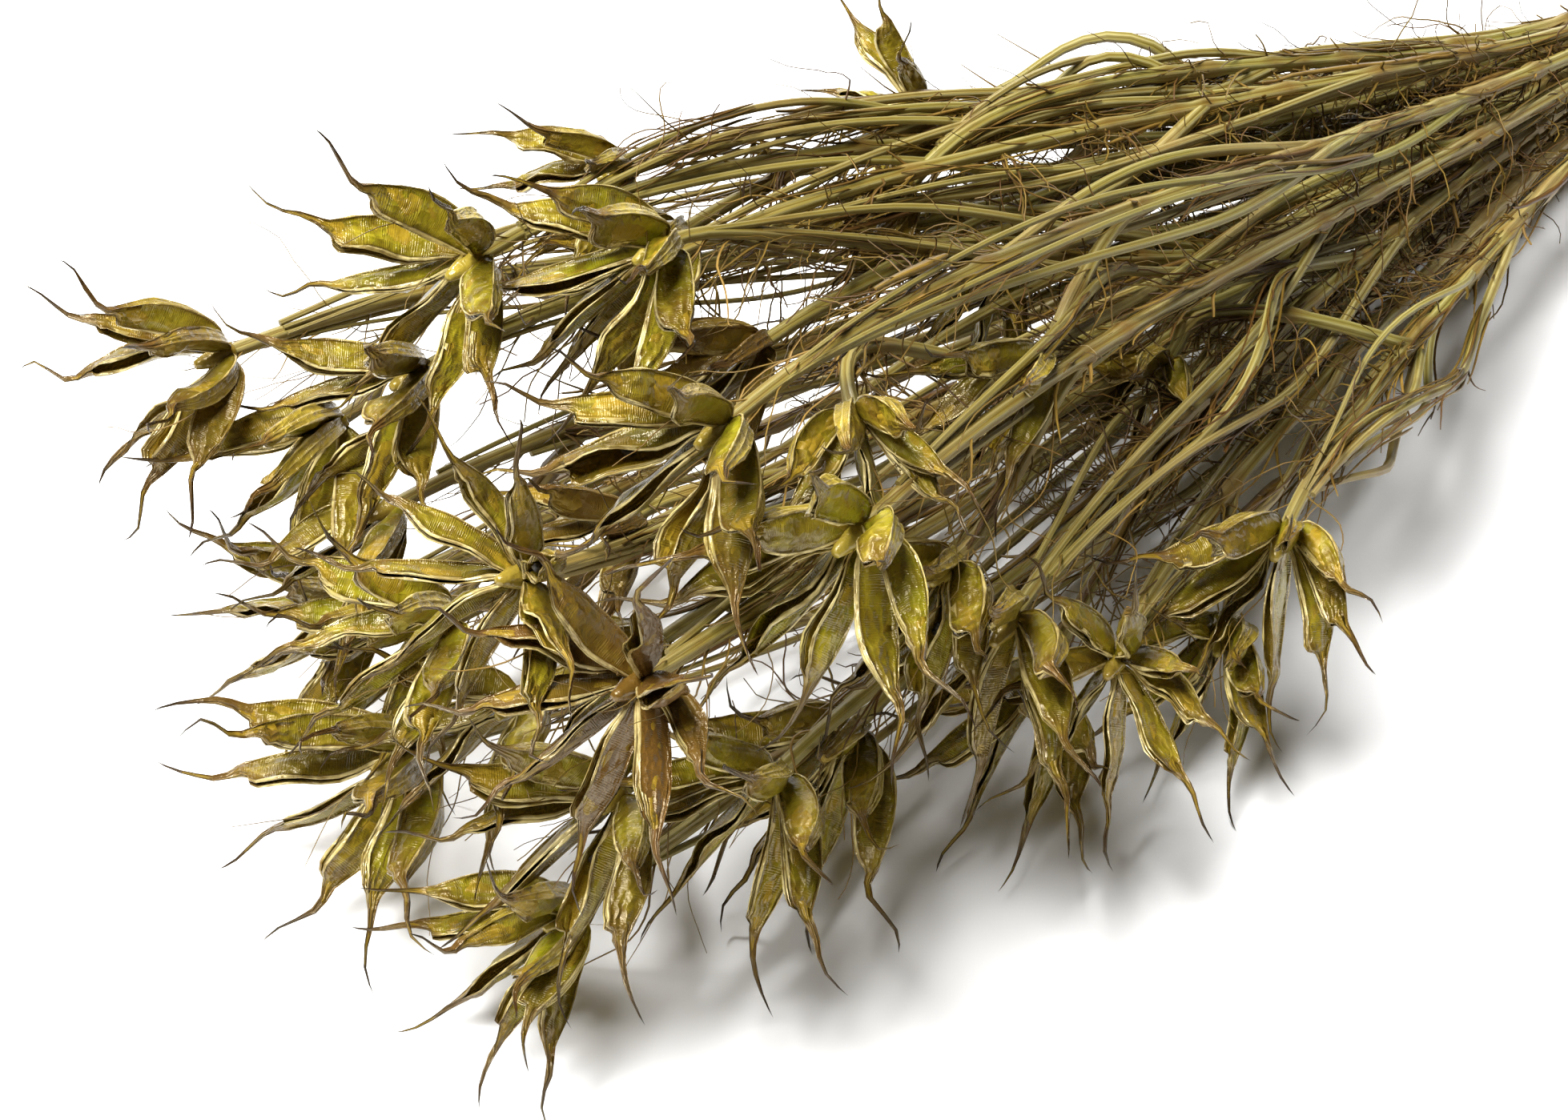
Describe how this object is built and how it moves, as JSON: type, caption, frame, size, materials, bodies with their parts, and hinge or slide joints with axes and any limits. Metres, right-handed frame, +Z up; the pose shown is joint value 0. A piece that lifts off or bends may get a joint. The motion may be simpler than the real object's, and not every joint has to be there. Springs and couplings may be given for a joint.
{
  "type": "dried nigella bunch",
  "caption": "Tied bunch of dried nigella lying on its side: leafy forked stems fanning out from an elastic band to open star-shaped seed heads with long curved beaks.",
  "frame": {"origin": "on the surface that the bunch lies on, under the middle of its bounding box", "axes": "+X from the seed heads to the cut ends, +Z up from the surface, +Y to the left of someone looking from the seed heads to the cut ends"},
  "size_m": [0.464, 0.1804, 0.1306],
  "materials": {
    "pod": "dry papery seed pods, olive green with straw edges and brown beaks",
    "stem": "dry ribbed stems and thread leaves, straw green to brown",
    "tie": "matt tan elastic band"
  },
  "bodies": {
    "root": {"head_01": "pod", "head_02": "pod", "head_03": "pod", "head_04": "pod", "head_05": "pod", "head_06": "pod", "head_07": "pod", "head_08": "pod", "head_09": "pod", "head_10": "pod", "head_11": "pod", "head_12": "pod", "head_13": "pod", "head_14": "pod", "head_15": "pod", "head_16": "pod", "head_17": "pod", "head_18": "pod", "head_19": "pod", "head_20": "pod", "head_21": "pod", "head_22": "pod", "head_23": "pod", "head_24": "pod", "head_25": "pod", "head_26": "pod", "head_27": "pod", "head_28": "pod", "head_29": "pod", "head_30": "pod", "head_31": "pod", "head_32": "pod", "head_33": "pod", "head_34": "pod", "head_35": "pod", "head_36": "pod", "head_37": "pod", "stem_01": "stem", "stem_02": "stem", "stem_03": "stem", "stem_04": "stem", "stem_05": "stem", "stem_06": "stem", "stem_07": "stem", "stem_08": "stem", "stem_09": "stem", "stem_10": "stem", "stem_11": "stem", "stem_12": "stem", "stem_13": "stem", "stem_14": "stem", "stem_15": "stem", "stem_16": "stem", "stem_17": "stem", "stem_18": "stem", "stem_19": "stem", "stem_20": "stem", "stem_21": "stem", "tie": "tie"}
  },
  "joints": []
}
